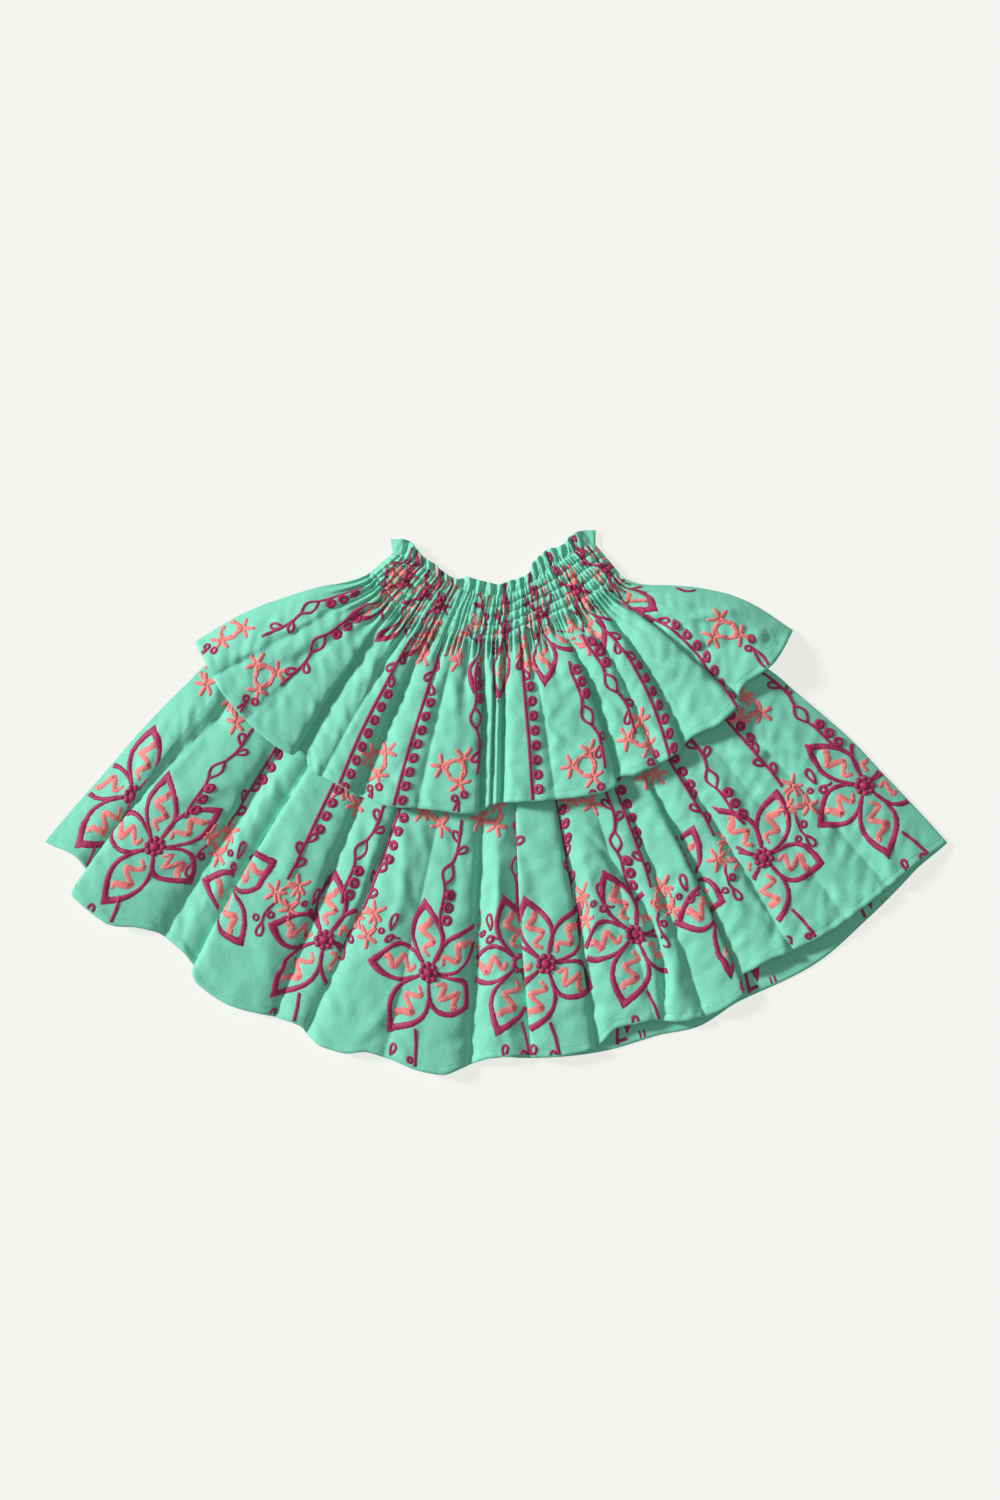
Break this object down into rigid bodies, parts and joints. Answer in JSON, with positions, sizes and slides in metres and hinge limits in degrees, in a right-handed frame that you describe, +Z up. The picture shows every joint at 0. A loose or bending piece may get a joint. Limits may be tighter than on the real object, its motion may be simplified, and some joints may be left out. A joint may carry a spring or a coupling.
{
  "type": "pollera skirt",
  "caption": "Full two-tier pollera skirt with a shirred, ruffled waist, laid flat with its tiers fanned out.",
  "frame": {"origin": "middle of the laid skirt's box, on the surface that it lies on", "axes": "+X along the skirt's width, to the right as seen from above with the waist at the top; +Y towards the waist; +Z up, out of the front"},
  "size_m": [0.9942, 0.5994, 0.0305],
  "materials": {
    "cotton_poplin_mint": "crisp plain-weave cotton with a faint sheen",
    "embroidery_thread_magenta": "twisted rayon embroidery thread, silky",
    "embroidery_thread_coral": "twisted rayon embroidery thread, silky",
    "sewing_thread_mint": "matt polyester sewing thread"
  },
  "bodies": {
    "root": {"heading_frill_front": "cotton_poplin_mint", "heading_frill_back": "cotton_poplin_mint", "shirred_waist_front": "cotton_poplin_mint", "shirred_waist_back": "cotton_poplin_mint", "upper_tier_front": "cotton_poplin_mint", "upper_tier_back": "cotton_poplin_mint", "lower_tier_front": "cotton_poplin_mint", "lower_tier_back": "cotton_poplin_mint"}
  },
  "joints": []
}
